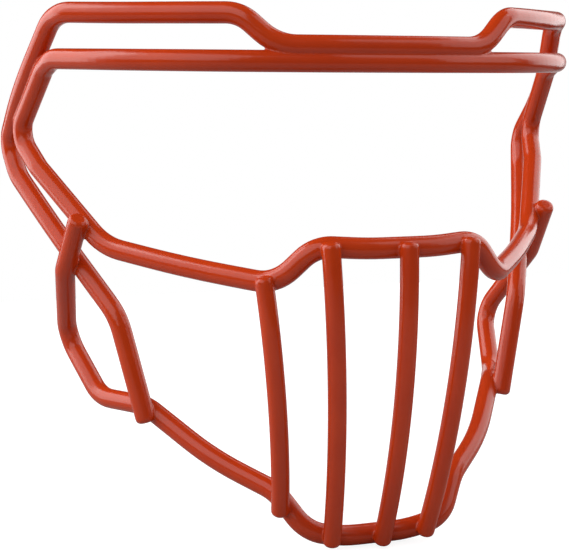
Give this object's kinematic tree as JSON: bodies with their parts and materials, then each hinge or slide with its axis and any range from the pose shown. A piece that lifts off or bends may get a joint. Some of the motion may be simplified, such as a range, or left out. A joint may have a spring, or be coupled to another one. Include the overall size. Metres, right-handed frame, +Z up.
{
  "type": "football helmet facemask",
  "caption": "Welded and coated steel wire facemask with an open eye field, upright chin bars, raised brow corners and a clip loop at each side",
  "frame": {"origin": "middle of the whole mask, on the middle plane of the wire frame", "axes": "+X to the wearer's left, -Y out of the front of the face, +Z up as worn"},
  "size_m": [0.2254, 0.1299, 0.1877],
  "materials": {
    "wire_coating": "smooth glossy orange-red coating, about a millimetre thick",
    "wire_steel": "drawn steel wire, hidden inside the coating",
    "weld_metal": "resistance weld metal, hidden inside the coating"
  },
  "bodies": {
    "root": {"bar_1_bottom_weld": "weld_metal", "bar_1_coating": "wire_coating", "bar_1_core": "wire_steel", "bar_1_top_weld": "weld_metal", "bar_2_bottom_weld": "weld_metal", "bar_2_coating": "wire_coating", "bar_2_core": "wire_steel", "bar_2_top_weld": "weld_metal", "bar_3_bottom_weld": "weld_metal", "bar_3_coating": "wire_coating", "bar_3_core": "wire_steel", "bar_3_top_weld": "weld_metal", "bar_4_bottom_weld": "weld_metal", "bar_4_coating": "wire_coating", "bar_4_core": "wire_steel", "bar_4_top_weld": "weld_metal", "brow_seam_weld_left": "weld_metal", "brow_seam_weld_right": "weld_metal", "brow_wire_coating": "wire_coating", "brow_wire_core": "wire_steel", "cheek_weld_left": "weld_metal", "cheek_weld_right": "weld_metal", "chin_wire_coating": "wire_coating", "chin_wire_core": "wire_steel", "eye_wire_butt_weld": "weld_metal", "eye_wire_coating": "wire_coating", "eye_wire_core": "wire_steel", "jaw_weld_left": "weld_metal", "jaw_weld_right": "weld_metal", "loop_weld_left": "weld_metal", "loop_weld_right": "weld_metal", "temple_weld_left": "weld_metal", "temple_weld_right": "weld_metal"}
  },
  "joints": []
}
